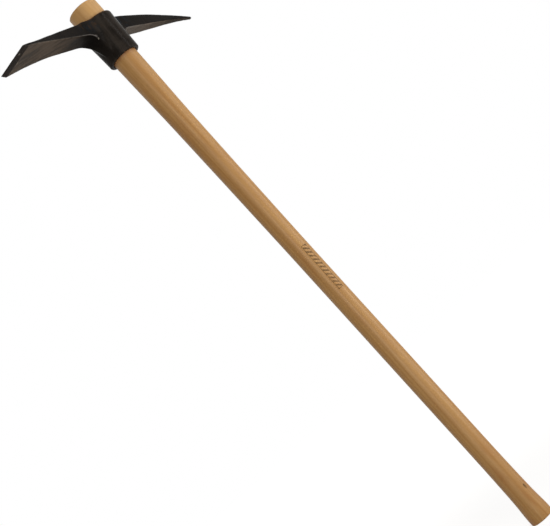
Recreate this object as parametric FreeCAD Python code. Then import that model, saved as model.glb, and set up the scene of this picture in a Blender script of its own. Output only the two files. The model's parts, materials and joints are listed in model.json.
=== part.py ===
import FreeCAD, Part
import math
import os

# Pick axe: a forged steel head with a round tapered eye, slipped over a turned wooden handle.
# Millimetres. The origin is the centre of the handle's butt face, +Z runs up the handle,
# the pick points along +X and the blade along -X.

# handle, from the butt upwards
handle_length = 1100.0
butt_radius = 20.3
butt_height = 10.0
butt_edge_rounding = 2.0
grip_radius = 17.65
grip_low = 150.0
grip_high = 540.0
stub_height = 31.5
stub_swell = 0.4
stub_swell_height = 15.5
stub_edge_break = 1.2

# eye of the head, a tapered socket that widens upwards
eye_height = 77.0
bore_bottom_radius = 23.6
bore_top_radius = 27.0
bore_mouth_break = 1.0
eye_wall_bottom = 6.0
eye_wall_top = 6.4
eye_bottom_rounding = 1.8

# fit of the handle in the eye
seat_clearance = 0.05
seat_height = 38.5
collar_gap = 1.25

# both arms, measured down from the top of the eye
arm_depth = 28.9
ridge_rounding = 1.5
top_edge_rounding = 2.2
web_turn = 75.0
web_foot_drop = 12.0
web_foot_half_width = 3.0
web_foot_flare_radius = 8.0
web_draft_margin = 0.4

# blade, the broad arm
blade_reach = 247.5
blade_root_half_width = 15.4
blade_corner_half_width = 34.0
blade_corner_length = 13.5
blade_spread = 0.14
blade_flare_length = 12.6
blade_flare_radius = 43.0
blade_flare_turn = 31.0
blade_neck_length = 6.0
blade_web_length = 36.4
blade_web_radius = 34.0
blade_flat_length = 90.4
blade_shoulder_length = 11.6
cutting_edge_drop = 32.6
cutting_edge_thickness = 0.8
cutting_edge_half_width = 32.8
bevel_length = 9.5
bevel_drop = 36.7

# pick, the pointed arm
pick_reach = 266.8
pick_root_half_width = 11.5
pick_tip_half_width = 2.6
pick_tip_thickness = 5.0
pick_tip_drop = 27.9
pick_flare_length = 13.6
pick_flare_radius = 33.0
pick_flare_turn = 40.0
pick_neck_length = 15.0
pick_web_length = 30.4
pick_web_radius = 29.0
pick_flat_length = 150.4
pick_shoulder_length = 14.6

# Outlines between those sizes: how far along, and how much of the change has happened by then.
# butt to grip, the height in millimetres and the share of the fall in radius
butt_fall = [(20.0, 0.11), (35.0, 0.47), (64.0, 0.79), (100.0, 0.94)]
# grip to eye, shares of the way and of the rise in radius
handle_rise = [(0.22, 0.085), (0.455, 0.235), (0.61, 0.36), (0.75, 0.52), (0.852, 0.735), (0.948, 0.895)]
# top line of each arm, shares of the way out and of the drop
blade_top_line = [(0.084, 0.095), (0.173, 0.184), (0.395, 0.368), (0.617, 0.598), (0.84, 0.847)]
pick_top_line = [(0.082, 0.043), (0.165, 0.104), (0.325, 0.212), (0.512, 0.38), (0.695, 0.58), (0.878, 0.81)]
# half width of each arm, shares of the way from its neck to its end and of the change in width
blade_widening = [(0.0, 0.0), (0.236, 0.134), (0.401, 0.242), (0.566, 0.392), (0.731, 0.618), (0.896, 0.849)]
pick_narrowing = [(0.0, 0.0), (0.186, 0.1), (0.381, 0.27), (0.576, 0.53), (0.772, 0.8)]

# sizes that follow from those above
eye_top = handle_length - stub_height
eye_bottom = eye_top - eye_height
eye_outer_bottom_radius = bore_bottom_radius + eye_wall_bottom
eye_outer_top_radius = bore_top_radius + eye_wall_top
arm_underside = eye_top - arm_depth
arm_inner_x = bore_bottom_radius * 0.6
web_foot = eye_height / 9

# room beyond the finished shape for blocks and cutters
spare = 10.0
cutter_width = 4 * blade_corner_half_width


def point(x, y, z):
    return FreeCAD.Vector(x, y, z)


def line(start, end):
    return Part.makeLine(start, end)


def arc(start, middle, end):
    return Part.Arc(start, middle, end).toShape()


def between(start, end, share):
    return start + (end - start) * share


def smooth(points, start_direction, end_direction=None):
    """Curve through the points, tangent to start_direction at the first one."""
    if end_direction is None:
        end_direction = points[-1] - points[-2]
    spline = Part.BSplineCurve()
    spline.interpolate(Points=points, InitialTangent=start_direction, FinalTangent=end_direction)
    return spline.toShape()


def bend(start, end):
    """Curve in the XZ plane that leaves start level and arrives at end."""
    spline = Part.BezierCurve()
    spline.setPoles([start, point(between(start.x, end.x, 0.5), 0, start.z), end])
    return spline.toShape()


def outline(corners):
    return Part.makePolygon(corners + corners[:1]).Edges


def prism(edges, direction):
    face = Part.Face(Part.Wire(Part.__sortEdges__(edges)))
    return face.extrude(direction)


def across(edges, width):
    """Block that fills a side view, pulled the same way to both sides of the head."""
    block = prism(edges, point(0, width, 0))
    block.translate(point(0, -width / 2, 0))
    return block


def turned(edges, seam_turn=90):
    """Solid of revolution about the handle's axis, with its seam turned away from the arms."""
    face = Part.Face(Part.Wire(Part.__sortEdges__(edges)))
    solid = face.revolve(point(0, 0, 0), point(0, 0, 1), 360)
    solid.rotate(point(0, 0, 0), point(0, 0, 1), seam_turn)
    return solid


def bore_radius(z):
    return between(bore_bottom_radius, bore_top_radius, (z - eye_bottom) / eye_height)


def side_block(side, tops, underside_bend, web_start):
    """Arm seen from the side. side is +1 for the pick and -1 for the blade."""
    bend_start, low_end = underside_bend
    foot_x = side * (web_start + spare / 2)
    foot_z = eye_bottom + web_foot
    inner_top = point(side * arm_inner_x, 0, eye_top)
    inner_foot = point(side * arm_inner_x, 0, foot_z)
    outer_foot = point(foot_x, 0, foot_z)
    outer_step = point(foot_x, 0, arm_underside)
    edges = [
        line(inner_top, tops[0]),
        smooth(tops, point(side, 0, 0)),
        line(tops[-1], low_end),
        bend(bend_start, low_end),
        line(bend_start, outer_step),
        line(outer_step, outer_foot),
        line(outer_foot, inner_foot),
        line(inner_foot, inner_top),
    ]
    return across(edges, cutter_width)


def plan_block(side, half_widths, flare_start, flare_radius, flare_turn):
    """Arm seen from above, with a concave flare on each side where it meets the eye."""
    turn = math.radians(flare_turn)
    root = half_widths[0][1]
    edges = []
    inner_ends = []
    outer_ends = []
    for hand in (-1, 1):
        centre_y = root + flare_radius

        def on_flare(angle):
            x = flare_start - flare_radius * math.sin(angle)
            y = centre_y - flare_radius * math.cos(angle)
            return point(side * x, hand * y, 0)

        flare_outer = on_flare(0)
        flare_inner = on_flare(turn)
        inner = point(side * arm_inner_x, flare_inner.y + hand * ridge_rounding, 0)
        stations = [point(side * x, hand * y, 0) for x, y in half_widths]
        edges.append(line(inner, flare_inner))
        edges.append(arc(flare_inner, on_flare(turn / 2), flare_outer))
        edges.append(line(flare_outer, stations[0]))
        edges.append(smooth(stations, point(side, 0, 0)))
        inner_ends.append(inner)
        outer_ends.append(stations[-1])
    edges.append(line(inner_ends[0], inner_ends[1]))
    edges.append(line(outer_ends[0], outer_ends[1]))
    block = prism(edges, point(0, 0, eye_height + 2 * spare))
    block.translate(point(0, 0, eye_bottom - spare))
    return block


def web_cutter(side, start, radius):
    """Everything below the hollow curve that joins the arm's underside to the eye wall."""
    turn = math.radians(web_turn)
    centre_z = arm_underside - radius

    def on_web(angle):
        return point(start - radius * math.sin(angle), 0, centre_z + radius * math.cos(angle))

    rim = point(start + 1.5 * spare, 0, arm_underside)
    outer = on_web(0)
    inner = on_web(turn)
    foot = point(inner.x - web_foot_drop / math.tan(turn), 0, inner.z - web_foot_drop)
    low = eye_bottom - spare
    edges = [
        line(rim, outer),
        arc(outer, on_web(turn / 2), inner),
        line(inner, foot),
        line(foot, point(foot.x, 0, low)),
        line(point(foot.x, 0, low), point(rim.x, 0, low)),
        line(point(rim.x, 0, low), rim),
    ]
    return turned(edges, 180 if side > 0 else 0)


def web_side_cutter(side, hand, root, flare, foot_x):
    """What the draft takes off one side of a web, which narrows from the arm's width to its foot."""
    flare_start, flare_radius, flare_turn = flare
    foot_z = eye_bottom + web_foot
    foot_flare = web_foot_flare_radius
    foot_wall = eye_outer_bottom_radius + foot_flare
    foot_centre_y = web_foot_half_width + foot_flare
    foot_start = math.sqrt(foot_wall ** 2 - foot_centre_y ** 2)
    foot_turn = math.asin(foot_start / foot_wall)
    upper = (arm_underside, root + web_draft_margin, flare_start, flare_radius, math.radians(flare_turn))
    lower = (foot_z, web_foot_half_width, foot_start, foot_flare, foot_turn)
    sections = []
    for z, half_width, start, radius, turn in (upper, lower):

        def on_flare(angle):
            x = start - radius * math.sin(angle)
            y = half_width + radius - radius * math.cos(angle)
            return point(side * x, hand * y, z)

        inner = on_flare(turn)
        outer = on_flare(0)
        neck = point(side * foot_x, outer.y, z)
        deep = point(side * arm_inner_x / 2, inner.y * 0.9, z)
        far_neck = point(neck.x, hand * cutter_width / 2, z)
        far_deep = point(deep.x, far_neck.y, z)
        edges = [
            line(deep, inner),
            arc(inner, on_flare(turn / 2), outer),
            line(outer, neck),
            line(neck, far_neck),
            line(far_neck, far_deep),
            line(far_deep, deep),
        ]
        sections.append(Part.Wire(edges))
    return Part.makeLoft(sections, True, True)


def round_arm(arm):
    """Rounds the four long edges of an arm, the lower two less than the upper two."""
    lower = []
    upper = []
    for edge in arm.Edges:
        middle = edge.valueAt((edge.FirstParameter + edge.LastParameter) / 2)
        if edge.BoundBox.XLength < 0.5 or abs(middle.y) < 1:
            continue
        faces = arm.ancestorsOfType(edge, Part.Face)
        slopes = [face.normalAt(*face.Surface.parameter(middle)).z for face in faces]
        if max(slopes) > 0.9:
            upper.append(edge)
        elif middle.z < arm_underside + 0.5:
            lower.append(edge)
    return arm.makeFillet(ridge_rounding, lower).makeFillet(top_edge_rounding, upper)


def top_points(side, start_x, end_x, drop, shares):
    tops = [point(side * start_x, 0, eye_top)]
    for along, down in shares:
        tops.append(point(side * between(start_x, end_x, along), 0, eye_top - drop * down))
    tops.append(point(side * end_x, 0, eye_top - drop))
    return tops


def width_points(start_x, end_x, root, end, shares):
    return [(between(start_x, end_x, along), between(root, end, change)) for along, change in shares]


def make_blade():
    overlength = spare / 4
    shoulder = eye_outer_top_radius + blade_shoulder_length
    tops = top_points(-1, shoulder, blade_reach, cutting_edge_drop, blade_top_line)
    slope = (tops[-1].z - tops[-2].z) / (tops[-1].x - tops[-2].x)
    tops.append(point(-blade_reach - overlength, 0, tops[-1].z - overlength * slope))

    flare_start = eye_outer_top_radius + blade_flare_length
    corner = blade_reach - blade_corner_length
    half_widths = width_points(
        flare_start + blade_neck_length, corner, blade_root_half_width, blade_corner_half_width, blade_widening
    )
    half_widths.append((corner, blade_corner_half_width))
    beyond = blade_corner_length + overlength
    half_widths.append((corner + beyond, blade_corner_half_width + beyond * blade_spread))

    web_start = eye_outer_bottom_radius + blade_web_length
    end = point(-blade_reach - overlength, 0, eye_top - bevel_drop - ridge_rounding)
    bend_start = point(-eye_outer_bottom_radius - blade_flat_length, 0, arm_underside)
    arm = side_block(-1, tops, (bend_start, end), web_start)
    arm = arm.common(plan_block(-1, half_widths, flare_start, blade_flare_radius, blade_flare_turn))
    arm = arm.cut(web_cutter(-1, web_start, blade_web_radius)).removeSplitter()
    flare = (flare_start, blade_flare_radius, blade_flare_turn)
    sides = [web_side_cutter(-1, hand, blade_root_half_width, flare, web_start + spare) for hand in (-1, 1)]
    return round_arm(arm).cut(sides)


def make_pick():
    shoulder = eye_outer_top_radius + pick_shoulder_length
    tops = top_points(1, shoulder, pick_reach, pick_tip_drop, pick_top_line)

    flare_start = eye_outer_top_radius + pick_flare_length
    half_widths = width_points(
        flare_start + pick_neck_length, pick_reach, pick_root_half_width, pick_tip_half_width, pick_narrowing
    )
    half_widths.append((pick_reach, pick_tip_half_width))

    web_start = eye_outer_bottom_radius + pick_web_length
    end = point(pick_reach, 0, tops[-1].z - pick_tip_thickness)
    bend_start = point(eye_outer_bottom_radius + pick_flat_length, 0, arm_underside)
    arm = side_block(1, tops, (bend_start, end), web_start)
    arm = arm.common(plan_block(1, half_widths, flare_start, pick_flare_radius, pick_flare_turn))
    arm = arm.cut(web_cutter(1, web_start, pick_web_radius)).removeSplitter()
    flare = (flare_start, pick_flare_radius, pick_flare_turn)
    sides = [web_side_cutter(1, hand, pick_root_half_width, flare, web_start + spare) for hand in (-1, 1)]
    return round_arm(arm).cut(sides)


def bevel_cutter():
    """What the ground bevel takes off below the cutting edge."""
    edge_low = eye_top - cutting_edge_drop - cutting_edge_thickness
    back_low = eye_top - bevel_drop
    slope = (edge_low - back_low) / bevel_length
    inner = point(-blade_reach + bevel_length + spare, 0, back_low - spare * slope)
    outer = point(-blade_reach - spare, 0, edge_low + spare * slope)
    floor = eye_bottom
    return across(outline([inner, outer, point(outer.x, 0, floor), point(inner.x, 0, floor)]), cutter_width)


def end_cutter():
    """What lies beyond the blunt line of the cutting edge."""
    corner = point(-blade_reach - 2 * spare, -cutter_width / 2, eye_bottom)
    return Part.makeBox(2 * spare, cutter_width, eye_height, corner)


def corner_cutter(hand):
    """What is cut off one corner of the blade."""
    start = point(-blade_reach + blade_corner_length, hand * blade_corner_half_width, eye_bottom)
    stop = point(-blade_reach, hand * cutting_edge_half_width, eye_bottom)
    step = stop - start
    outside = point(0, hand * 2 * spare, 0)
    corners = [start - step, stop + step, stop + step + outside, start - step + outside]
    return prism(outline(corners), point(0, 0, eye_height))


def bore_cutter():
    low = eye_bottom + bore_mouth_break
    high = eye_top - bore_mouth_break
    below = eye_bottom - bore_mouth_break
    above = eye_top + bore_mouth_break
    flare = 2 * bore_mouth_break
    corners = [
        point(0, 0, below),
        point(bore_radius(low) + flare, 0, below),
        point(bore_radius(low), 0, low),
        point(bore_radius(high), 0, high),
        point(bore_radius(high) + flare, 0, above),
        point(0, 0, above),
    ]
    return turned(outline(corners))


def make_eye():
    eye = Part.makeCone(eye_outer_bottom_radius, eye_outer_top_radius, eye_height)
    eye.rotate(point(0, 0, 0), point(0, 0, 1), 90)
    eye.translate(point(0, 0, eye_bottom))
    rims = [edge for edge in eye.Edges if edge.BoundBox.ZLength < 0.1]
    bottom = [edge for edge in rims if edge.BoundBox.ZMax < eye_top - 1]
    eye = eye.makeFillet(eye_bottom_rounding, bottom)
    top = [edge for edge in eye.Edges if edge.BoundBox.ZMin > eye_top - 0.1]
    return eye.makeFillet(top_edge_rounding, top)


def make_head():
    head = make_eye().fuse([make_blade(), make_pick()]).removeSplitter()
    return head.cut([bore_cutter(), bevel_cutter(), end_cutter(), corner_cutter(-1), corner_cutter(1)])


def handle_profile():
    """Points of the handle's side from the top of the butt to where it seats in the eye."""
    collar_radius = bore_bottom_radius - collar_gap
    profile = [(butt_radius, butt_height)]
    for height, fall in butt_fall:
        profile.append((between(butt_radius, grip_radius, fall), height))
    for share in (0, 0.5, 1):
        profile.append((grip_radius, between(grip_low, grip_high, share)))
    for along, rise in handle_rise:
        radius = between(grip_radius, collar_radius, rise)
        profile.append((radius, between(grip_high, eye_bottom, along)))
    profile.append((collar_radius, eye_bottom))
    return [point(radius, 0, height) for radius, height in profile]


def make_handle():
    def seat(z):
        return point(bore_radius(z) - seat_clearance, 0, z)

    seat_low = seat(eye_bottom + seat_height)
    seat_high = seat(eye_top)
    seat_direction = seat_high - seat_low
    body = handle_profile() + [seat_low]
    stub_radius = bore_top_radius + stub_swell
    swell = point(stub_radius, 0, eye_top + stub_swell_height)
    break_low = point(stub_radius, 0, handle_length - stub_edge_break)
    break_high = point(stub_radius - stub_edge_break, 0, handle_length)
    rounding = butt_edge_rounding
    diagonal = rounding * math.sqrt(0.5)
    face_edge = point(butt_radius - rounding, 0, 0)
    side_edge = point(butt_radius, 0, rounding)
    edges = [
        line(point(0, 0, 0), face_edge),
        arc(face_edge, point(face_edge.x + diagonal, 0, rounding - diagonal), side_edge),
        line(side_edge, body[0]),
        smooth(body, point(0, 0, 1), seat_direction),
        line(seat_low, seat_high),
        smooth([seat_high, swell], seat_direction, point(0, 0, 1)),
        line(swell, break_low),
        line(break_low, break_high),
        line(break_high, point(0, 0, handle_length)),
        line(point(0, 0, handle_length), point(0, 0, 0)),
    ]
    return turned(edges)


os.makedirs("parts", exist_ok=True)
pieces = {"handle": make_handle(), "pick_head": make_head()}
for name, shape in pieces.items():
    solid = shape.Solids[0]
    print(name, "valid" if solid.isValid() else "broken", round(solid.Volume / 1000, 1), "cm3")
    solid.exportStep("parts/" + name + ".step")
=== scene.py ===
import json
import math

import bmesh
import bpy
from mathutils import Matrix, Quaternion, Vector

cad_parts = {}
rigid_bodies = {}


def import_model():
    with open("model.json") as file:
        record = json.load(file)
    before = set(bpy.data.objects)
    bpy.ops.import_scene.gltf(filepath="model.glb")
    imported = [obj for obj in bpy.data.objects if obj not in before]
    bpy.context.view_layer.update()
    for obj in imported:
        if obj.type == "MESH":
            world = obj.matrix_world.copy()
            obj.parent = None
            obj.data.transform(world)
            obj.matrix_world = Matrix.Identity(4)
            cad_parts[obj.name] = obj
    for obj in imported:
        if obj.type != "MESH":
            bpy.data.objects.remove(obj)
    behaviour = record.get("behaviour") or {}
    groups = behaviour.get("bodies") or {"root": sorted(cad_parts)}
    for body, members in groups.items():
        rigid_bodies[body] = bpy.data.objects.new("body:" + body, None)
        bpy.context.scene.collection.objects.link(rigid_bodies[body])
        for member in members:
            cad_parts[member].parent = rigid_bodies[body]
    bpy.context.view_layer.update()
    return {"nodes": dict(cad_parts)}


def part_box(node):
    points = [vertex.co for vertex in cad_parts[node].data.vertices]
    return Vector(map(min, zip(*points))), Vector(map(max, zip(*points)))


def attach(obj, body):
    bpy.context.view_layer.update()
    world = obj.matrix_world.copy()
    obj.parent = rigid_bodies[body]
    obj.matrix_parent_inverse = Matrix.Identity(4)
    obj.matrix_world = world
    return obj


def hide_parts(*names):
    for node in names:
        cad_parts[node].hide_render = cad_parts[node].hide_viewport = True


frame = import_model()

bl_info = {
    "name": "Pick Axe",
    "version": (1, 0, 0),
    "blender": (4, 5, 0),
    "location": "3D View > Sidebar > Pick Axe",
    "description": "Finishes a pick axe: a forged head on a turned wooden handle",
    "category": "Object",
}

MM = 0.001
HANDLE_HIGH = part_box("handle")[1]
HEAD_LOW, HEAD_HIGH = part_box("pick_head")


class HandleSettings(bpy.types.PropertyGroup):
    """The turned handle and its wood."""

    sides: bpy.props.IntProperty(
        name="Sides", description="Facets round the handle", default=96, min=24
    )
    ring_step: bpy.props.FloatProperty(
        name="Ring Step", description="Height between two rings of the mesh", default=0.005, unit="LENGTH"
    )
    pale_wood: bpy.props.FloatVectorProperty(
        name="Pale Wood", description="Lighter colour of the wood", default=(0.44, 0.243, 0.08),
        subtype="COLOR",
    )
    dark_wood: bpy.props.FloatVectorProperty(
        name="Dark Wood", description="Darker colour of the wood", default=(0.325, 0.152, 0.036),
        subtype="COLOR",
    )
    burnt_wood: bpy.props.FloatVectorProperty(
        name="Burnt Wood", description="Colour of the burnt ornament", default=(0.105, 0.05, 0.011),
        subtype="COLOR",
    )
    pore_colour: bpy.props.FloatVectorProperty(
        name="Pores", description="Colour of the fine open pores", default=(0.27, 0.135, 0.04),
        subtype="COLOR",
    )
    orange_wood: bpy.props.FloatVectorProperty(
        name="Orange Wood", description="Colour of the stained patches", default=(0.33, 0.13, 0.03),
        subtype="COLOR",
    )
    # Painted light: the stub above the head is painted this paler colour, as if it were more strongly lit.
    stub_light: bpy.props.FloatVectorProperty(
        name="Stub Light", description="Paler colour painted on the stub as light", default=(0.66, 0.40, 0.16), subtype="COLOR"
    )
    # Stain at the seat, also used as painted shade in the band below the eye.
    seat_stain_and_shade: bpy.props.FloatVectorProperty(
        name="Seat Stain And Shade", description="Stain that the steel leaves, and painted shade below the eye", default=(0.17, 0.06, 0.018),
        subtype="COLOR",
    )
    end_grain: bpy.props.FloatVectorProperty(
        name="End Grain", description="Colour of both end faces", default=(0.27, 0.14, 0.052), subtype="COLOR"
    )
    ring_colour: bpy.props.FloatVectorProperty(
        name="Ring Lines", description="Growth rings on the end faces", default=(0.16, 0.075, 0.024),
        subtype="COLOR",
    )
    rubbed_wood: bpy.props.FloatVectorProperty(
        name="Rubbed Wood", description="Pale wood on the rubbed end edges", default=(0.6, 0.38, 0.16),
        subtype="COLOR",
    )
    year_width: bpy.props.FloatProperty(
        name="Year Width", description="Distance between two growth rings", default=0.0042, unit="LENGTH"
    )
    pith_x: bpy.props.FloatProperty(
        name="Pith Distance -X", description="How far towards -X the middle of the tree lies", default=0.055,
        unit="LENGTH",
    )
    pith_y: bpy.props.FloatProperty(
        name="Pith Distance -Y", description="How far towards -Y the middle of the tree lies", default=0.047,
        unit="LENGTH",
    )
    grip_radius: bpy.props.FloatProperty(
        name="Grip Radius", description="Radius that the ornament is laid out on", default=0.0177,
        unit="LENGTH",
    )
    ornament_low: bpy.props.FloatProperty(
        name="Ornament Foot", description="Height of the ornament's lower end", default=0.474, unit="LENGTH"
    )
    ornament_high: bpy.props.FloatProperty(
        name="Ornament Top", description="Height of the ornament's upper end", default=0.565, unit="LENGTH"
    )
    ornament_width: bpy.props.FloatProperty(
        name="Ornament Width", description="Width of the ornament round the handle", default=0.0105,
        unit="LENGTH",
    )
    ornament_turn: bpy.props.FloatProperty(
        name="Ornament Turn", description="Side of the handle that bears the ornament",
        default=math.radians(-117.4), unit="ROTATION",
    )
    bar_spacing: bpy.props.FloatProperty(
        name="Bar Spacing", description="Distance between two bars of the ornament", default=0.0078,
        unit="LENGTH",
    )
    oval_height: bpy.props.FloatProperty(
        name="Oval Height", description="Height of the small oval near the butt", default=0.0565,
        unit="LENGTH",
    )


class HeadSettings(bpy.types.PropertyGroup):
    """The forged head and its dark skin."""

    voxel: bpy.props.FloatProperty(
        name="Mesh Size", description="Size of the faces of the forging", default=0.0011, unit="LENGTH"
    )
    hammer_marks: bpy.props.FloatProperty(
        name="Hammer Marks", description="Depth of the shallow hollows", default=0.0007, unit="LENGTH"
    )
    pitting: bpy.props.FloatProperty(
        name="Pitting", description="Depth of the small unevenness", default=0.00022, unit="LENGTH"
    )
    blank_end: bpy.props.FloatProperty(
        name="Blank End", description="Distance from the handle's axis to the unground blank", default=0.236,
        unit="LENGTH",
    )
    blade_reach: bpy.props.FloatProperty(
        name="Blade Reach", description="Distance from the handle's axis to the cutting edge", default=0.2475,
        unit="LENGTH",
    )
    edge_half_width: bpy.props.FloatProperty(
        name="Edge Half Width", description="Half the length of the cutting edge", default=0.0328,
        unit="LENGTH",
    )
    corner_half_width: bpy.props.FloatProperty(
        name="Corner Half Width", description="Half the blade's width behind its corners", default=0.034,
        unit="LENGTH",
    )
    corner_length: bpy.props.FloatProperty(
        name="Corner Length", description="Length of the blade's cut corners", default=0.0135, unit="LENGTH"
    )
    bevel_length: bpy.props.FloatProperty(
        name="Bevel Length", description="Length of the ground bevel", default=0.0095, unit="LENGTH"
    )
    bevel_drop: bpy.props.FloatProperty(
        name="Bevel Drop", description="Bevel's inner line below the top of the eye", default=0.0367,
        unit="LENGTH",
    )
    edge_drop: bpy.props.FloatProperty(
        name="Edge Drop", description="Cutting edge below the top of the eye", default=0.0334, unit="LENGTH"
    )
    bore_bottom: bpy.props.FloatProperty(
        name="Bore Bottom", description="Radius of the eye's hole at its lower end", default=0.0236,
        unit="LENGTH",
    )
    bore_top: bpy.props.FloatProperty(
        name="Bore Top", description="Radius of the eye's hole at its upper end", default=0.027, unit="LENGTH"
    )
    skin: bpy.props.FloatVectorProperty(
        name="Skin", description="Colour of the dark forging skin", default=(0.0165, 0.0135, 0.011),
        subtype="COLOR",
    )
    # Painted reflection: undersides are painted this paler colour, standing in for the pale floor they
    # reflect.
    underside_sheen: bpy.props.FloatVectorProperty(
        name="Underside Sheen", description="Painted sheen on the undersides", default=(0.108, 0.083, 0.063),
        subtype="COLOR",
    )
    # Used for the real rubbed edges, and also for painted sheen on the ridges and under the pick.
    bare_steel_and_sheen: bpy.props.FloatVectorProperty(
        name="Bare Steel And Sheen", description="Colour of rubbed steel and of painted sheen", default=(0.23, 0.21, 0.19), subtype="COLOR"
    )
    rust: bpy.props.FloatVectorProperty(
        name="Rust", description="Colour of the thin brown rust", default=(0.05, 0.026, 0.012),
        subtype="COLOR",
    )
    temper: bpy.props.FloatVectorProperty(
        name="Temper", description="Blue left by the heat beside the eye", default=(0.008, 0.012, 0.016),
        subtype="COLOR",
    )
    # Painted light: paler colour on the faces that look upwards.
    top_painted_light: bpy.props.FloatVectorProperty(
        name="Top Light", description="Paler colour painted on the top faces as light", default=(0.07, 0.06, 0.05),
        subtype="COLOR",
    )
    rim_rust: bpy.props.FloatVectorProperty(
        name="Rim Rust", description="Rusty line round the eye's upper rim", default=(0.11, 0.052, 0.02),
        subtype="COLOR",
    )
    ground_dark: bpy.props.FloatVectorProperty(
        name="Ground Dark", description="Darker colour of the ground bevel", default=(0.012, 0.010, 0.009),
        subtype="COLOR",
    )
    ground_light: bpy.props.FloatVectorProperty(
        name="Ground Light", description="Lighter colour of the ground bevel", default=(0.028, 0.023, 0.02),
        subtype="COLOR",
    )
    # Painted highlights: colour of the small glints.
    glint_colour: bpy.props.FloatVectorProperty(
        name="Glints", description="Colour of the small painted glints", default=(0.42, 0.37, 0.3),
        subtype="COLOR",
    )


class StageSettings(bpy.types.PropertyGroup):
    """Floor, lamps and camera."""

    floor_size: bpy.props.FloatProperty(
        name="Floor Size", description="Width of the floor", default=40.0, unit="LENGTH"
    )
    camera_place: bpy.props.FloatVectorProperty(
        name="Camera Place", description="Where the camera stands", default=(-1.68027, -1.0045, 0.36105),
        subtype="TRANSLATION", unit="LENGTH",
    )
    camera_azimuth: bpy.props.FloatProperty(
        name="Camera Azimuth", description="Turn of the camera round the handle",
        default=math.radians(-57.863), unit="ROTATION",
    )
    camera_rise: bpy.props.FloatProperty(
        name="Camera Rise", description="How far the camera looks up", default=math.radians(6.245),
        unit="ROTATION",
    )
    camera_roll: bpy.props.FloatProperty(
        name="Camera Roll", description="Tilt of the picture", default=math.radians(-42.1), unit="ROTATION"
    )
    lens: bpy.props.FloatProperty(
        name="Lens", description="Focal length in millimetres on a 36 mm sensor", default=80.462
    )
    key_place: bpy.props.FloatVectorProperty(
        name="Key Lamp Place", description="Where the large soft lamp stands", default=(0.466, -1.426, 0.53),
        subtype="TRANSLATION", unit="LENGTH",
    )
    key_aim: bpy.props.FloatProperty(
        name="Key Lamp Aim", description="Height on the handle that the large lamp faces", default=0.53,
        unit="LENGTH",
    )
    key_size: bpy.props.FloatVectorProperty(
        name="Key Lamp Size", description="Width and height of the large lamp", default=(0.3, 1.04), size=2,
        unit="LENGTH",
    )
    key_power: bpy.props.FloatProperty(
        name="Key Lamp Power", description="Power of the large soft lamp in watts", default=11.8
    )
    front_place: bpy.props.FloatVectorProperty(
        name="Front Lamp Place", description="Where the weaker lamp stands", default=(-1.914, -1.449, 0.6),
        subtype="TRANSLATION", unit="LENGTH",
    )
    front_aim: bpy.props.FloatProperty(
        name="Front Lamp Aim", description="Height on the handle that the weaker lamp faces", default=0.5,
        unit="LENGTH",
    )
    front_size: bpy.props.FloatVectorProperty(
        name="Front Lamp Size", description="Width and height of the weaker lamp", default=(0.6, 1.8), size=2,
        unit="LENGTH",
    )
    front_power: bpy.props.FloatProperty(
        name="Front Lamp Power", description="Power of the weaker lamp in watts", default=24.0
    )
    eye_place: bpy.props.FloatVectorProperty(
        name="Eye Lamp Place", description="Where the small lamp that shines on the eye stands",
        default=(0.516, -1.409, 1.42), subtype="TRANSLATION", unit="LENGTH",
    )
    eye_aim: bpy.props.FloatProperty(
        name="Eye Lamp Aim", description="Height on the handle that the small lamp faces", default=1.03,
        unit="LENGTH",
    )
    eye_size: bpy.props.FloatVectorProperty(
        name="Eye Lamp Size", description="Width and height of the small lamp", default=(0.2, 0.35), size=2,
        unit="LENGTH",
    )
    eye_power: bpy.props.FloatProperty(
        name="Eye Lamp Power", description="Power of the small lamp in watts", default=3.4
    )
    room_light: bpy.props.FloatProperty(
        name="Room Light", description="Level of the even light from all sides", default=0.3
    )
    room_colour: bpy.props.FloatVectorProperty(
        name="Room Colour", description="Tint of the even light", default=(1, 0.94, 0.87), subtype="COLOR"
    )


def clear_selection():
    if bpy.context.object and bpy.context.object.mode != "OBJECT":
        bpy.ops.object.mode_set(mode="OBJECT")
    bpy.ops.object.select_all(action="DESELECT")


def make_active(piece):
    clear_selection()
    piece.select_set(True)
    bpy.context.view_layer.objects.active = piece


def open_mesh(piece, kind="VERT"):
    make_active(piece)
    bpy.ops.object.mode_set(mode="EDIT")
    bpy.ops.mesh.select_mode(type=kind)
    bpy.ops.mesh.select_all(action="DESELECT")


def close_mesh():
    bpy.ops.object.mode_set(mode="OBJECT")


def select_where(piece, elements, wanted):
    """Selects the vertices, edges or faces for which wanted is true, and returns how many there are."""
    mesh = bmesh.from_edit_mesh(piece.data)
    chosen = [element for element in getattr(mesh, elements) if wanted(element)]
    for element in chosen:
        element.select_set(True)
    mesh.select_flush_mode()
    bmesh.update_edit_mesh(piece.data)
    return len(chosen)


def apply_modifier(piece, kind, **values):
    modifier = piece.modifiers.new(kind.title(), kind)
    for name, value in values.items():
        setattr(modifier, name, value)
    make_active(piece)
    bpy.ops.object.modifier_apply(modifier=modifier.name)


def place_in_mesh(piece):
    make_active(piece)
    bpy.ops.object.transform_apply(location=True, rotation=True, scale=True)


def copy_of_node(node, name):
    """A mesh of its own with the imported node's shape, its loose triangles joined."""
    make_active(frame["nodes"][node])
    bpy.ops.object.duplicate()
    piece = bpy.context.object
    piece.name = name
    piece.data.name = name
    for key in list(piece.keys()):
        del piece[key]
    bpy.ops.object.parent_clear(type="CLEAR_KEEP_TRANSFORM")
    piece.data.materials.clear()
    bpy.ops.mesh.customdata_custom_splitnormals_clear()
    open_mesh(piece)
    bpy.ops.mesh.select_all(action="SELECT")
    bpy.ops.mesh.remove_doubles(threshold=0.002 * MM)
    close_mesh()
    return piece


def finish_piece(piece, node, body, material):
    place_in_mesh(piece)
    piece.data.materials.clear()
    piece.data.materials.append(material)
    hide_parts(node)
    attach(piece, body)


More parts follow.
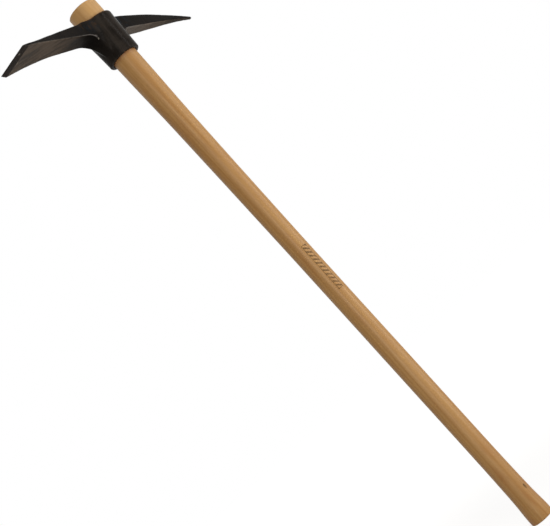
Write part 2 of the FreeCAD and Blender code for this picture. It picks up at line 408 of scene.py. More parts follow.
def handle_radius():
    """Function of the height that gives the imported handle's radius."""
    samples = sorted((v.co.z, math.hypot(v.co.x, v.co.y)) for v in frame["nodes"]["handle"].data.vertices)
    same = 1e-7

    def radius(height):
        below = max((s for s in samples if s[0] <= height + same), default=samples[0])
        above = min((s for s in samples if s[0] >= height - same), default=samples[-1])
        if above[0] - below[0] < same:
            return max(below[1], above[1])
        share = (height - below[0]) / (above[0] - below[0])
        return below[1] + (above[1] - below[1]) * share

    return radius


def extrude_ring(step, factor, height):
    """Pulls the selected ring up by step and scales it round the axis."""
    bpy.ops.mesh.extrude_region_move(TRANSFORM_OT_translate={"value": (0, 0, step)})
    bpy.ops.transform.resize(value=(factor, factor, 1), center_override=(0, 0, height))


def close_end(height):
    """Fills the selected end ring with rings that shrink to a point."""
    for factor in (0.8, 0.7, 0.6, 0.4):
        extrude_ring(0, factor, height)
    bpy.ops.mesh.merge(type="CENTER")


def turn_handle(settings):
    """A circle pulled up the handle ring by ring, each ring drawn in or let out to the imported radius."""
    radius = handle_radius()
    top = HANDLE_HIGH.z
    first, last = 4 * MM, top - 2.8 * MM
    count = round((top - first) / settings.ring_step)
    heights = [step * MM for step in (0, 0.4, 0.9, 1.4, 2, 3)]
    heights += [first + (last - first) * i / count for i in range(count + 1)]
    heights += [top - step * MM for step in (1.2, 0.8, 0.4, 0)]
    bpy.ops.mesh.primitive_circle_add(vertices=settings.sides, radius=radius(0.0), location=(0, 0, 0))
    piece = bpy.context.object
    piece.name = "turned_handle"
    piece.data.name = "turned_handle"
    open_mesh(piece)
    bpy.ops.mesh.select_all(action="SELECT")
    for low, high in zip(heights, heights[1:]):
        extrude_ring(high - low, radius(high) / radius(low), high)
    close_end(top)
    bpy.ops.mesh.select_all(action="DESELECT")
    rim = radius(0.0) * 0.999
    select_where(piece, "verts", lambda v: v.co.z < 1e-6 and math.hypot(v.co.x, v.co.y) > rim)
    close_end(0)
    bpy.ops.mesh.select_all(action="SELECT")
    bpy.ops.mesh.normals_make_consistent(inside=False)
    close_mesh()
    make_active(piece)
    bpy.ops.object.shade_smooth_by_angle(angle=math.radians(30))
    return piece


def keep_side(piece, place, outward):
    """Cuts the piece along a plane, closes the cut and keeps its border crisp."""
    open_mesh(piece)
    bpy.ops.mesh.select_all(action="SELECT")
    bpy.ops.mesh.bisect(plane_co=place, plane_no=outward, use_fill=True, clear_outer=True, threshold=1e-7)
    bpy.ops.mesh.select_all(action="DESELECT")
    bpy.ops.mesh.select_mode(type="FACE")
    normal = Vector(outward).normalized()
    level = Vector(place).dot(normal)
    select_where(piece, "faces", lambda f: all(abs(v.co.dot(normal) - level) < 1e-6 for v in f.verts))
    bpy.ops.mesh.region_to_loop()
    bpy.ops.mesh.mark_sharp()
    close_mesh()


def stretch_blank(piece, settings):
    """Takes off the finished cutting end and pulls the arm out to an unground blank."""
    end = -settings.blank_end
    length, droop, widening = 16 * MM, 2.4 * MM, 1.07
    open_mesh(piece, "EDGE")
    bpy.ops.mesh.select_all(action="SELECT")
    bpy.ops.mesh.bisect(plane_co=(end, 0, 0), plane_no=(-1, 0, 0), clear_outer=True, threshold=1e-7)
    bpy.ops.mesh.select_all(action="DESELECT")
    select_where(piece, "edges", lambda e: e.is_boundary)
    bpy.ops.mesh.extrude_region_move(TRANSFORM_OT_translate={"value": (-length, 0, -droop)})
    bpy.ops.transform.resize(value=(1, widening, 1), center_override=(end - length, 0, 0))
    bpy.ops.mesh.edge_face_add()
    close_mesh()


def plug_bore(piece, settings):
    """Fills the eye, so that the hole can be cut cleanly after the forging."""
    height = HEAD_HIGH.z - HEAD_LOW.z
    into_wall = 2.6 * MM
    clear_selection()
    bpy.ops.mesh.primitive_cone_add(
        vertices=96, radius1=settings.bore_bottom + into_wall, radius2=settings.bore_top + into_wall,
        depth=height, location=(0, 0, HEAD_LOW.z + height / 2),
    )
    plug = bpy.context.object
    make_active(piece)
    plug.select_set(True)
    bpy.ops.object.join()


def bore_tool(settings):
    """Tapered plug with a small flare at both mouths, which cuts the hole for the handle."""
    low, high = HEAD_LOW.z, HEAD_HIGH.z
    mouth, flare, taper = 1 * MM, 2 * MM, 0.04
    rings = [
        (low - mouth, settings.bore_bottom + flare), (low + mouth, settings.bore_bottom + taper * mouth),
        (high - mouth, settings.bore_top - taper * mouth), (high + mouth, settings.bore_top + flare),
    ]
    clear_selection()
    bpy.ops.mesh.primitive_circle_add(
        vertices=128, radius=rings[0][1], fill_type="NGON", location=(0, 0, rings[0][0])
    )
    tool = bpy.context.object
    place_in_mesh(tool)
    open_mesh(tool)
    bpy.ops.mesh.select_all(action="SELECT")
    for (height, radius), (next_height, next_radius) in zip(rings, rings[1:]):
        extrude_ring(next_height - height, next_radius / radius, next_height)
    bpy.ops.mesh.select_all(action="SELECT")
    bpy.ops.mesh.normals_make_consistent(inside=False)
    close_mesh()
    return tool


def weigh(piece, name, weight):
    """Vertex group whose weights are given by a function of the place."""
    group = piece.vertex_groups.new(name=name)
    for vertex in piece.data.vertices:
        value = weight(vertex.co)
        if value > 0:
            group.add([vertex.index], min(1.0, value), "REPLACE")
    return group.name


def ramp(value, low, high):
    """Rises evenly from 0 to 1 while the value goes from low to high."""
    return max(0.0, min(1.0, (value - low) / (high - low)))


def uneven(piece, name, size, depth, detail):
    """Raises and lowers the surface by a cloudy pattern."""
    texture = bpy.data.textures.new(name, "CLOUDS")
    texture.noise_scale = size
    texture.noise_depth = detail
    apply_modifier(piece, "DISPLACE", texture=texture, texture_coords="LOCAL", strength=depth, mid_level=0.5)


def grind_blade(piece, settings):
    """Cuts the bevel, the cutting edge and the two corners of the blade."""
    reach = settings.blade_reach
    slope = settings.bevel_drop - settings.edge_drop
    keep_side(piece, (-reach, 0, HEAD_HIGH.z - settings.edge_drop), (-slope, 0, -settings.bevel_length))
    keep_side(piece, (-reach, 0, 0), (-1, 0, 0))
    narrowing = settings.corner_half_width - settings.edge_half_width
    for hand in (-1, 1):
        corner = (-reach, hand * settings.edge_half_width, 0)
        keep_side(piece, corner, (-narrowing, hand * settings.corner_length, 0))


def forge_head(settings):
    """Remeshed blank with soft edges and hammer marks, ground at the blade and bored at the eye."""
    piece = copy_of_node("pick_head", "forged_head")
    stretch_blank(piece, settings)
    plug_bore(piece, settings)
    apply_modifier(piece, "REMESH", mode="VOXEL", voxel_size=settings.voxel)
    underside = HEAD_HIGH.z - 28.9 * MM

    def web_weight(place):
        reach = abs(place.x)
        beside_eye = ramp(reach, 18 * MM, 26 * MM) * ramp(-reach, -62 * MM, -50 * MM)
        return beside_eye * ramp(-place.z, -underside - 3 * MM, -underside)

    webs = weigh(piece, "webs", web_weight)
    for passes, group in ((5, ""), (12, webs)):
        apply_modifier(piece, "SMOOTH", factor=0.5, iterations=passes, vertex_group=group)
    uneven(piece, "hammer_marks", 35 * MM, settings.hammer_marks, 1)
    uneven(piece, "pitting", 6 * MM, settings.pitting, 3)
    grind_blade(piece, settings)
    tool = bore_tool(settings)
    apply_modifier(piece, "BOOLEAN", object=tool, operation="DIFFERENCE", solver="EXACT")
    bpy.data.objects.remove(tool)
    make_active(piece)
    bpy.ops.object.shade_smooth_by_angle(angle=math.radians(55), keep_sharp_edges=True)
    return piece


def put(tree, kind, inputs=None, **settings):
    """Adds a shader node. An input is given either a value or the socket that feeds it."""
    node = tree.nodes.new("ShaderNode" + kind)
    for name, value in settings.items():
        setattr(node, name, value)
    for name, value in (inputs or {}).items():
        if isinstance(value, bpy.types.NodeSocket):
            tree.links.new(value, node.inputs[name])
        else:
            node.inputs[name].default_value = value
    return node


def calc(tree, operation, *values, clamp=False):
    """Works through the values from left to right, each a socket or a number."""
    result = values[0]
    if len(values) == 1:
        return put(tree, "Math", {0: result}, operation=operation).outputs[0]
    for value in values[1:]:
        result = put(tree, "Math", {0: result, 1: value}, operation=operation).outputs[0]
    result.node.use_clamp = clamp
    return result


def plus(tree, *values, clamp=False):
    return calc(tree, "ADD", *values, clamp=clamp)


def minus(tree, *values):
    return calc(tree, "SUBTRACT", *values)


def times(tree, *values, clamp=False):
    return calc(tree, "MULTIPLY", *values, clamp=clamp)


def largest(tree, *values):
    return calc(tree, "MAXIMUM", *values)


def squared(tree, value):
    return calc(tree, "POWER", value, 2.0)


def fade(tree, value, low, high, start=0.0, end=1.0):
    """Goes smoothly from start to end while the value goes from low to high."""
    inputs = {"Value": value, "From Min": low, "From Max": high, "To Min": start, "To Max": end}
    return put(tree, "MapRange", inputs, interpolation_type="SMOOTHSTEP").outputs["Result"]


def fade_out(tree, value, low, high):
    return fade(tree, value, low, high, 1.0, 0.0)


def blend_numbers(tree, share, first, second):
    return put(tree, "Mix", {0: share, 2: first, 3: second}, data_type="FLOAT").outputs[0]


def blend(tree, share, first, second):
    """Mixes two colours, each a socket or three numbers."""
    colours = [c if isinstance(c, bpy.types.NodeSocket) else (*c, 1) for c in (first, second)]
    inputs = {0: share, 6: colours[0], 7: colours[1]}
    return put(tree, "Mix", inputs, data_type="RGBA").outputs[2]


def shade_of(colour, factor):
    return tuple(factor * part for part in colour)


def parts_of(tree, vector):
    node = put(tree, "SeparateXYZ", {0: vector})
    return node.outputs["X"], node.outputs["Y"], node.outputs["Z"]


def new_group(name, inputs, outputs):
    group = bpy.data.node_groups.new(name, "ShaderNodeTree")
    for label, kind, default in inputs:
        socket = group.interface.new_socket(label, in_out="INPUT", socket_type="NodeSocket" + kind)
        socket.default_value = default
    for label, kind in outputs:
        group.interface.new_socket(label, in_out="OUTPUT", socket_type="NodeSocket" + kind)
    return group, group.nodes.new("NodeGroupInput").outputs, group.nodes.new("NodeGroupOutput").inputs


def grain_group():
    """Patches or streaks of any stretch, as a mask between 0 and 1."""
    group, given, result = new_group(
        "streaks",
        [("Place", "Vector", (0, 0, 0)), ("Stretch", "Vector", (1, 1, 1)), ("Turn", "Vector", (0, 0, 0)),
         ("Detail", "Float", 3.0), ("Low", "Float", 0.4), ("High", "Float", 0.6)],
        [("Mask", "Float")],
    )
    inputs = {"Vector": given["Place"], "Rotation": given["Turn"]}
    turned = put(group, "VectorRotate", inputs, rotation_type="EULER_XYZ")
    stretched = put(group, "VectorMath", {0: turned.outputs[0], 1: given["Stretch"]}, operation="MULTIPLY")
    noise = put(group, "TexNoise", {"Vector": stretched.outputs[0], "Scale": 1.0, "Detail": given["Detail"]})
    group.links.new(fade(group, noise.outputs["Fac"], given["Low"], given["High"]), result["Mask"])
    return group


def rim_group():
    """Outer edges that hands, soil and tools have rubbed, broken up by a fine pattern."""
    group, given, result = new_group(
        "rubbed_edges",
        [("Place", "Vector", (0, 0, 0)), ("Start", "Float", 0.52), ("Full", "Float", 0.6),
         ("Break Size", "Float", 300.0), ("Break Up", "Float", 0.5)],
        [("Mask", "Float")],
    )
    bend = put(group, "NewGeometry").outputs["Pointiness"]
    rim = fade(group, bend, given["Start"], given["Full"])
    noise = put(group, "TexNoise", {"Vector": given["Place"], "Scale": given["Break Size"], "Detail": 3.0})
    gaps = minus(group, 1.0, fade(group, noise.outputs["Fac"], 0.4, 0.6))
    kept = minus(group, 1.0, times(group, gaps, given["Break Up"]))
    group.links.new(times(group, rim, kept, clamp=True), result["Mask"])
    return group


def use_group(tree, name, make, inputs):
    """Adds a group that the materials share, which is made at its first use."""
    return put(tree, "Group", inputs, node_tree=bpy.data.node_groups.get(name) or make()).outputs["Mask"]


def streaks(tree, place, stretch, low, high, turn=(0, 0, 0), detail=3.0):
    inputs = {"Place": place, "Stretch": stretch, "Turn": turn, "Detail": detail, "Low": low, "High": high}
    return use_group(tree, "streaks", grain_group, inputs)


def rubbed_edges(tree, place, start, full, size, break_up):
    inputs = {"Place": place, "Start": start, "Full": full, "Break Size": size, "Break Up": break_up}
    return use_group(tree, "rubbed_edges", rim_group, inputs)


def new_material(name):
    material = bpy.data.materials.new(name)
    material.use_nodes = True
    tree = material.node_tree
    place = put(tree, "TexCoord").outputs["Object"]
    return material, tree, tree.nodes["Principled BSDF"], place


def dress(tree, shader, colour, rough, height, depth, specular):
    """Feeds the shader its colour, roughness and relief, and sets its even shine."""
    relief = put(tree, "Bump", {"Strength": 0.5, "Distance": depth, "Height": height})
    tree.links.new(colour, shader.inputs["Base Color"])
    tree.links.new(rough, shader.inputs["Roughness"])
    tree.links.new(relief.outputs["Normal"], shader.inputs["Normal"])
    shader.inputs["Specular IOR Level"].default_value = specular


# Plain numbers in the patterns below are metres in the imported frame, or shares between 0 and 1.


def growth_rings(tree, place, settings):
    """Saw-tooth of the years: it rises slowly through a year's pale wood and falls at the dark line."""
    x, y, z = parts_of(tree, place)
    wander = put(tree, "VectorMath", {0: place, 1: (9.0, 9.0, 1.6)}, operation="MULTIPLY").outputs[0]
    noise = put(tree, "TexNoise", {"Vector": wander, "Scale": 1.0, "Detail": 2.0})
    drift = put(tree, "VectorMath", {0: noise.outputs["Color"], 1: (0.5, 0.5, 0.5)}, operation="SUBTRACT")
    drift = put(tree, "VectorMath", {0: drift.outputs[0], "Scale": 0.02}, operation="SCALE")
    drift_x, drift_y, _ = parts_of(tree, drift.outputs[0])
    lean = times(tree, z, 0.012)
    from_pith_x = plus(tree, x, settings.pith_x, drift_x, lean)
    from_pith_y = plus(tree, y, settings.pith_y, drift_y)
    radius = calc(tree, "SQRT", plus(tree, squared(tree, from_pith_x), squared(tree, from_pith_y)))
    return calc(tree, "FRACT", calc(tree, "DIVIDE", radius, settings.year_width))


def thin_line(tree, distance):
    """A line about 1 mm wide where the distance is near zero."""
    return fade_out(tree, calc(tree, "ABSOLUTE", distance), 0.0003, 0.0007)


def spot(tree, across, up, half_width, half_height):
    """Squared distance from the middle of an oval, 1 at its rim."""
    across = calc(tree, "DIVIDE", across, half_width)
    up = calc(tree, "DIVIDE", up, half_height)
    return plus(tree, squared(tree, across), squared(tree, up))


def burnt_ornament(tree, place, settings):
    """Thin frame with slanted bars, burnt into one side of the grip, and a small oval near the butt."""
    inputs = {"Vector": place, "Angle": -settings.ornament_turn}
    turned = put(tree, "VectorRotate", inputs, rotation_type="Z_AXIS")
    x, y, z = parts_of(tree, turned.outputs[0])
    along = times(tree, calc(tree, "ARCTAN2", y, x), settings.grip_radius)
    side = calc(tree, "ABSOLUTE", along)
    half = settings.ornament_width / 2
    middle = (settings.ornament_low + settings.ornament_high) / 2
    reach = (settings.ornament_high - settings.ornament_low) / 2
    soft = 0.4 * MM
    inset = 0.6 * MM
    from_middle = calc(tree, "ABSOLUTE", minus(tree, z, middle))
    inside = times(
        tree, fade_out(tree, side, half - soft, half + soft),
        fade_out(tree, from_middle, reach - soft, reach + soft),
    )
    slant = calc(tree, "DIVIDE", plus(tree, z, times(tree, along, 0.7)), settings.bar_spacing)
    tooth = calc(tree, "ABSOLUTE", minus(tree, calc(tree, "FRACT", slant), 0.5))
    bars = fade_out(tree, tooth, 0.2, 0.27)
    sides = thin_line(tree, minus(tree, side, half - inset))
    ends = thin_line(tree, minus(tree, from_middle, reach - inset))
    band = times(tree, inside, largest(tree, bars, sides, ends))
    oval = spot(tree, minus(tree, along, 3.8 * MM), minus(tree, z, settings.oval_height), 2.3 * MM, 4.8 * MM)
    oval = times(tree, fade_out(tree, oval, 0.6, 1.15), fade(tree, x, 0.0, 0.004))
    patchy = plus(tree, times(tree, streaks(tree, place, (700, 700, 160), 0.3, 0.62), 0.45), 0.55)
    return times(tree, largest(tree, band, oval), patchy)


def wood_grain(tree, place, settings):
    """Colour of the clean wood and the masks that its relief and its ends need."""
    years = growth_rings(tree, place, settings)
    early = fade_out(tree, years, 0.0, 0.62)
    line = fade(tree, years, 0.9, 1.0)
    fibres = streaks(tree, place, (520, 520, 7), 0.3, 0.7)
    strands = streaks(tree, place, (190, 190, 3.2), 0.34, 0.66, detail=2.0)
    broad = streaks(tree, place, (38, 38, 2.6), 0.33, 0.68)
    pores = streaks(tree, place, (1150, 1150, 45), 0.56, 0.7, detail=1.0)
    pores = times(tree, pores, plus(tree, times(tree, early, 0.75), 0.2))
    shares = ((early, 0.26), (line, 0.22), (fibres, 0.22), (strands, 0.34), (broad, 0.26))
    darker = plus(tree, *(times(tree, mask, share) for mask, share in shares), clamp=True)
    colour = blend(tree, darker, settings.pale_wood, settings.dark_wood)
    colour = blend(tree, times(tree, pores, 0.3), colour, settings.pore_colour)
    rings = plus(tree, times(tree, line, 0.4), times(tree, early, 0.22))
    return colour, fibres, pores, rings


def make_wood(settings):
    material, tree, shader, place = new_material("turned_hardwood")
    colour, fibres, pores, rings = wood_grain(tree, place, settings)
    z = parts_of(tree, place)[2]
    top, eye_top, eye_bottom = HANDLE_HIGH.z, HEAD_HIGH.z, HEAD_LOW.z

    # Painted light: the stub above the head is painted paler, as if it were more strongly lit.
    lit_stub = fade(tree, z, eye_top, eye_top + 0.006)
    colour = blend(tree, times(tree, lit_stub, 0.4), colour, settings.stub_light)
    ends = largest(tree, fade(tree, z, top - 0.0006, top - 0.0001), fade_out(tree, z, 0.0001, 0.0006))
    colour = blend(tree, times(tree, ends, 0.35), colour, settings.end_grain)
    colour = blend(tree, times(tree, ends, rings), colour, settings.ring_colour)

    # brown stain where the eye sits and just above it, and painted shade in the band below the eye's lower
    # end
    seat_and_shade = times(
        tree, fade_out(tree, z, eye_top + 0.0004, eye_top + 0.0026),
        fade(tree, z, eye_bottom - 0.009, eye_bottom + 0.002),
    )
    scuffs = plus(tree, times(tree, streaks(tree, place, (260, 260, 260), 0.42, 0.66), 0.4), 0.55)
    colour = blend(tree, times(tree, seat_and_shade, scuffs), colour, settings.seat_stain_and_shade)

    # orange patches, more of them near the butt
    low_end = plus(tree, times(tree, fade_out(tree, z, 0.03, 0.16), 0.55), 0.2)
    patches = times(tree, streaks(tree, place, (60, 60, 14), 0.47, 0.72), low_end)
    colour = blend(tree, patches, colour, settings.orange_wood)

    near_ends = largest(tree, fade_out(tree, z, 0.003, 0.008), fade(tree, z, top - 0.005, top - 0.002))
    rims = times(tree, rubbed_edges(tree, place, 0.53, 0.62, 420.0, 0.6), near_ends)
    colour = blend(tree, times(tree, rims, 0.5), colour, settings.rubbed_wood)
    burnt = burnt_ornament(tree, place, settings)
    colour = blend(tree, times(tree, burnt, 0.92), colour, settings.burnt_wood)

    rough = plus(tree, 0.44, times(tree, fibres, 0.08), times(tree, largest(tree, ends, burnt), 0.25))
    height = minus(tree, times(tree, fibres, 0.3), pores, times(tree, burnt, 1.6))
    dress(tree, shader, colour, rough, height, 0.06 * MM, 0.35)
    return material


def skin_and_painted_light(tree, settings, x, down, clouds, fine, place):
    """Dark forging skin: mottled, with upright streaks on the eye, the arms painted darker as shade and the
    top faces painted paler as light.
    """
    reach = calc(tree, "ABSOLUTE", x)
    mottled = plus(tree, times(tree, clouds, 0.7), times(tree, fine, 0.3))
    skin = blend(tree, mottled, shade_of(settings.skin, 0.6), shade_of(settings.skin, 1.5))
    upright = streaks(tree, place, (85, 85, 9), 0.36, 0.64, detail=2.0)
    upright = times(tree, upright, fade(tree, reach, 0.03, 0.05, 0.6, 0.0))
    skin = blend(tree, upright, skin, shade_of(settings.skin, 2.4))
    # Painted shade: the arms are darkened to a small share of the skin, standing in for the dark room that
    # their sides reflect.
    skin = blend(tree, fade(tree, reach, 0.026, 0.05, 0.0, 0.6), skin, shade_of(settings.skin, 0.12))
    # Painted light: faces that look upwards are painted paler, as if lit from above.
    above = fade_out(tree, down, -0.75, -0.3)
    above = times(tree, above, plus(tree, 0.35, times(tree, clouds, 0.5)))
    return blend(tree, above, skin, settings.top_painted_light)


def painted_underside_sheen(tree, x, under, rolled, clouds, fine):
    """Painted reflection of the pale floor on the undersides, in diagonal streaks, less of it beside the eye
    and towards the pick's tip, with a paler painted patch under the pick beside the eye.
    """
    sheen_pattern = plus(tree, times(tree, rolled, 0.75), times(tree, clouds, 0.3), 0.26, times(tree, fine, 0.1))
    pick_side = fade(tree, x, 0.032, 0.046)
    clear_of_eye = fade(tree, calc(tree, "ABSOLUTE", x), 0.045, 0.17)
    towards_tip = blend_numbers(tree, pick_side, 1.0, fade(tree, x, 0.06, 0.24, 1.25, 0.35))
    share = times(tree, largest(tree, clear_of_eye, pick_side), towards_tip)
    sheen = times(tree, times(tree, under, sheen_pattern), share, clamp=True)
    pick_sheen = times(tree, pick_side, under, fade(tree, x, 0.05, 0.17, 0.4, 0.0))
    return sheen, pick_sheen


def heat_marks(tree, settings, colour, place, reach, from_top):
    """Blue and brown tints beside the eye and a rusty line round its upper rim."""
    beside_eye = times(tree, fade(tree, reach, 0.014, 0.03), fade_out(tree, reach, 0.05, 0.09))
    heat = times(tree, beside_eye, fade_out(tree, from_top, 0.004, 0.036))
    blue = times(tree, heat, streaks(tree, place, (90, 90, 40), 0.46, 0.62), 0.75)
    colour = blend(tree, blue, colour, settings.temper)
    brown = times(tree, heat, streaks(tree, place, (110, 110, 70), 0.52, 0.68, turn=(0.4, 0.3, 0.9)))
    spots = times(tree, streaks(tree, place, (160, 160, 160), 0.6, 0.74, detail=5.0), 0.25)
    brown = largest(tree, brown, spots)
    colour = blend(tree, times(tree, brown, 0.55), colour, settings.rust)
    rim = times(tree, fade_out(tree, from_top, 0.0005, 0.004), fade_out(tree, reach, 0.036, 0.045), 0.5)
    return blend(tree, rim, colour, settings.rim_rust), brown


def ridge_shade_and_marks(tree, settings, colour, place, x, y, reach, from_top, down):
    """Painted shade in the hollow of the webs under the arms, the thin bright line along the lower ridges
    (partly rubbed steel, partly a painted highlight), and the rubbed edges.
    """
    # Painted shade: the hollow under the arms, beside the eye, is darkened where shade falls.
    web_shade = times(
        tree, fade(tree, reach, 0.027, 0.031), fade_out(tree, reach, 0.06, 0.095),
        fade(tree, from_top, 0.024, 0.032), fade(tree, x, 0.0, 0.01, 0.62, 0.2),
    )
    colour = blend(tree, web_shade, colour, shade_of(settings.skin, 0.2))
    # Thin bright line along the lower ridges: partly rubbed steel, partly a painted highlight.
    line = times(
        tree, fade(tree, down, 0.15, 0.35), fade_out(tree, down, 0.55, 0.8), fade(tree, reach, 0.0405, 0.046),
        fade(tree, calc(tree, "ABSOLUTE", y), 0.0095, 0.0115), fade(tree, reach, 0.06, 0.11, 0.4, 0.12),
    )
    colour = blend(tree, line, colour, settings.bare_steel_and_sheen)
    rims = times(tree, rubbed_edges(tree, place, 0.518, 0.57, 240.0, 0.6), fade(tree, x, 0.1, 0.2, 0.28, 0.1))
    return blend(tree, rims, colour, settings.bare_steel_and_sheen)


def ground_bevel(tree, settings, colour, place, x, from_top):
    """Band along the cutting edge that the grinder left dark, with scratches along the blade."""
    slope = (settings.bevel_drop - settings.edge_drop) / settings.bevel_length
    from_back = minus(tree, times(tree, x, -1.0), settings.blade_reach - settings.bevel_length)
    below = plus(tree, minus(tree, from_top, settings.bevel_drop), times(tree, from_back, slope))
    ground = times(tree, fade(tree, below, -0.0004, -0.00015), fade(tree, from_back, -0.0003, 0.0002))
    scratches = streaks(tree, place, (2400, 60, 2400), 0.35, 0.65)
    tone = blend(tree, scratches, settings.ground_dark, settings.ground_light)
    return blend(tree, times(tree, ground, 0.9), colour, tone), ground, scratches


def painted_glints(tree, settings, colour, place, x, y, down):
    """Small painted glints: two by the cutting edge and one where the near ridge ends."""
    ragged = times(tree, streaks(tree, place, (900, 900, 900), 0.3, 0.7, detail=2.0), 0.9)
    glints = ((-243.6, -15.7, 3.6, 1.3), (-235.0, 3.5, 4.6, 1.4), (-41.6, -12.2, 1.6, 1.3))
    for glint_x, glint_y, half_length, half_width in glints:
        off_x, off_y = minus(tree, x, glint_x * MM), minus(tree, y, glint_y * MM)
        off = plus(tree, spot(tree, off_x, off_y, half_width * MM, half_length * MM), ragged)
        glint = times(tree, fade_out(tree, off, 0.3, 1.1), fade(tree, down, 0.2, 0.6), 0.85)
        colour = blend(tree, glint, colour, settings.glint_colour)
    return colour


def make_steel(settings):
    material, tree, shader, place = new_material("forged_steel")
    x, y, z = parts_of(tree, place)
    reach = calc(tree, "ABSOLUTE", x)
    from_top = minus(tree, HEAD_HIGH.z, z)
    facing = put(tree, "TexCoord").outputs["Normal"]
    down = times(tree, parts_of(tree, facing)[2], -1.0)
    under = fade(tree, down, 0.35, 0.85)
    clouds = streaks(tree, place, (45, 45, 45), 0.34, 0.66, detail=4.0)
    rolled = streaks(tree, place, (15, 105, 45), 0.34, 0.66, turn=(0, 0, 0.42), detail=2.5)
    fine = streaks(tree, place, (420, 420, 420), 0.3, 0.7, detail=4.0)

    skin = skin_and_painted_light(tree, settings, x, down, clouds, fine, place)
    sheen, pick_sheen = painted_underside_sheen(tree, x, under, rolled, clouds, fine)
    # Painted reflection on the undersides, then a paler painted patch under the pick.
    colour = blend(tree, sheen, skin, settings.underside_sheen)
    colour = blend(tree, pick_sheen, colour, settings.bare_steel_and_sheen)
    colour, brown = heat_marks(tree, settings, colour, place, reach, from_top)
    colour = ridge_shade_and_marks(tree, settings, colour, place, x, y, reach, from_top, down)
    colour, ground, scratches = ground_bevel(tree, settings, colour, place, x, from_top)
    colour = painted_glints(tree, settings, colour, place, x, y, down)

    rough = plus(
        tree, fade(tree, reach, 0.028, 0.04, 0.2, 0.42), times(tree, clouds, 0.06), times(tree, sheen, 0.12),
        times(tree, ground, -0.12), times(tree, brown, 0.15),
    )
    height = plus(
        tree, times(tree, fine, 0.6), times(tree, rolled, 0.4), times(tree, scratches, ground, 0.5)
    )
    dress(tree, shader, colour, rough, height, 0.12 * MM, 0.015)
    return material


class PICKAXE_OT_handle(bpy.types.Operator):
    """Turns the wooden handle"""

    bl_idname = "pickaxe.handle"
    bl_label = "Turn Handle"

    def execute(self, context):
        settings = context.scene.pickaxe_handle
        finish_piece(turn_handle(settings), "handle", "handle", make_wood(settings))
        return {"FINISHED"}


class PICKAXE_OT_head(bpy.types.Operator):
    """Forges the pick and blade in one piece with the eye"""

    bl_idname = "pickaxe.head"
    bl_label = "Forge Head"

    def execute(self, context):
        settings = context.scene.pickaxe_head
        finish_piece(forge_head(settings), "pick_head", "head", make_steel(settings))
        return {"FINISHED"}


def add_lamp(name, place, aim, size, power):
    """Rectangular lamp that faces the handle's axis at the height of aim."""
    lamp = bpy.data.lights.new(name, "AREA")
    lamp.shape = "RECTANGLE"
    lamp.size, lamp.size_y = size
    lamp.energy = power
    piece = bpy.data.objects.new(name, lamp)
    piece.location = place
    piece.rotation_euler = (Vector((0, 0, aim)) - Vector(place)).to_track_quat("-Z", "Y").to_euler()
    bpy.context.scene.collection.objects.link(piece)


def seen_directly(tree):
    """1 where the camera, a reflection or a see-through surface looks, 0 for the light on the object."""
    rays = put(tree, "LightPath").outputs
    return largest(tree, rays["Is Camera Ray"], rays["Is Glossy Ray"], rays["Is Transmission Ray"])


def show_white(tree, lit, white, output):
    """Gives the white shader to the rays that look at the surface and the lit one to all others."""
    mix = put(tree, "MixShader", {0: seen_directly(tree), 1: lit.outputs[0], 2: white.outputs[0]})
    tree.links.new(mix.outputs[0], tree.nodes[output].inputs["Surface"])


def make_floor_material():
    """Pale floor, shown white, on which the soft shadow round the object stays."""
    material, tree, shader, place = new_material("pale_floor")
    for name, value in (("Base Color", (0.8, 0.8, 0.8, 1)), ("Roughness", 1.0), ("Specular IOR Level", 0.0)):
        shader.inputs[name].default_value = value
    matt = put(tree, "BsdfDiffuse", {"Color": (0.4, 0.4, 0.4, 1)})
    distance = put(tree, "VectorMath", {0: place}, operation="LENGTH").outputs["Value"]
    strength = fade(tree, distance, 0.25, 1.3, 0.78, 0.9)
    glow = put(tree, "Emission", {"Color": (1, 1, 1, 1), "Strength": strength})
    white = put(tree, "AddShader", {0: matt.outputs[0], 1: glow.outputs[0]})
    show_white(tree, shader, white, "Material Output")
    return material


def make_world(settings):
    world = bpy.data.worlds.new("studio")
    bpy.context.scene.world = world
    world.use_nodes = True
    tree = world.node_tree
    light = tree.nodes["Background"]
    light.inputs["Color"].default_value = (*settings.room_colour, 1)
    light.inputs["Strength"].default_value = settings.room_light
    white = put(tree, "Background", {"Color": (1, 1, 1, 1), "Strength": 1.0})
    show_white(tree, light, white, "World Output")


def set_camera(settings):
    camera = bpy.data.objects.new("camera", bpy.data.cameras.new("camera"))
    camera.location = settings.camera_place
    azimuth, rise = settings.camera_azimuth, settings.camera_rise
    look = Vector((-math.sin(azimuth) * math.cos(rise), math.cos(azimuth) * math.cos(rise), math.sin(rise)))
    camera.rotation_mode = "QUATERNION"
    camera.rotation_quaternion = look.to_track_quat("-Z", "Y") @ Quaternion((0, 0, 1), settings.camera_roll)
    camera.data.lens = settings.lens
    camera.data.sensor_width = 36.0
    bpy.context.scene.collection.objects.link(camera)
    bpy.context.scene.camera = camera


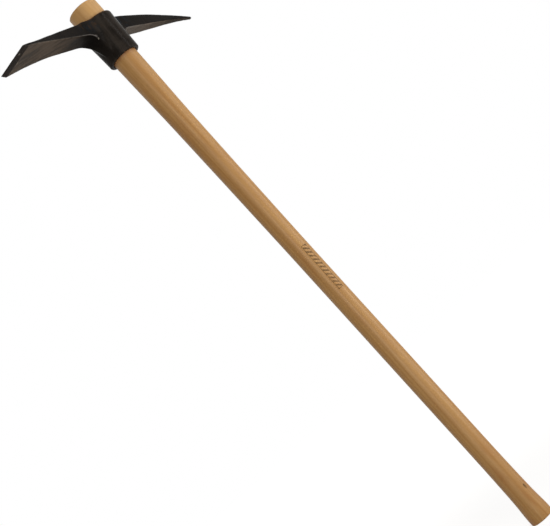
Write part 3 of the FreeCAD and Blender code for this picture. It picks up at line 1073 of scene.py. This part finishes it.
class PICKAXE_OT_stage(bpy.types.Operator):
    """Lays the floor and sets the lamps and the camera"""

    bl_idname = "pickaxe.stage"
    bl_label = "Set Stage"

    def execute(self, context):
        settings = context.scene.pickaxe_stage
        clear_selection()
        bpy.ops.mesh.primitive_plane_add(size=settings.floor_size, location=(0, 0, 0))
        floor = context.object
        floor.name = "floor"
        floor.data.materials.append(make_floor_material())
        make_world(settings)
        add_lamp("key_lamp", settings.key_place, settings.key_aim, settings.key_size, settings.key_power)
        add_lamp(
            "front_lamp", settings.front_place, settings.front_aim, settings.front_size, settings.front_power
        )
        add_lamp("eye_lamp", settings.eye_place, settings.eye_aim, settings.eye_size, settings.eye_power)
        set_camera(settings)
        context.scene.view_settings.view_transform = "Standard"
        return {"FINISHED"}


class PICKAXE_PT_panel(bpy.types.Panel):
    """Lists the steps that make the pick axe"""

    bl_idname = "PICKAXE_PT_panel"
    bl_label = "Pick Axe"
    bl_space_type = "VIEW_3D"
    bl_region_type = "UI"
    bl_category = "Pick Axe"

    def draw(self, context):
        scene = context.scene
        for settings, step in STEPS:
            box = self.layout.box()
            for name in getattr(scene, settings).__annotations__:
                box.prop(getattr(scene, settings), name)
            box.operator(step)


STEPS = (
    ("pickaxe_handle", "pickaxe.handle"),
    ("pickaxe_head", "pickaxe.head"),
    ("pickaxe_stage", "pickaxe.stage"),
)
GROUPS = {"pickaxe_handle": HandleSettings, "pickaxe_head": HeadSettings, "pickaxe_stage": StageSettings}
CLASSES = (*GROUPS.values(), PICKAXE_OT_handle, PICKAXE_OT_head, PICKAXE_OT_stage, PICKAXE_PT_panel)


def register():
    for item in CLASSES:
        bpy.utils.register_class(item)
    for name, group in GROUPS.items():
        setattr(bpy.types.Scene, name, bpy.props.PointerProperty(type=group))


def unregister():
    for name in GROUPS:
        delattr(bpy.types.Scene, name)
    for item in reversed(CLASSES):
        bpy.utils.unregister_class(item)


def main():
    register()
    bpy.ops.pickaxe.handle()
    bpy.ops.pickaxe.head()
    bpy.ops.pickaxe.stage()


if __name__ == "__main__":
    main()
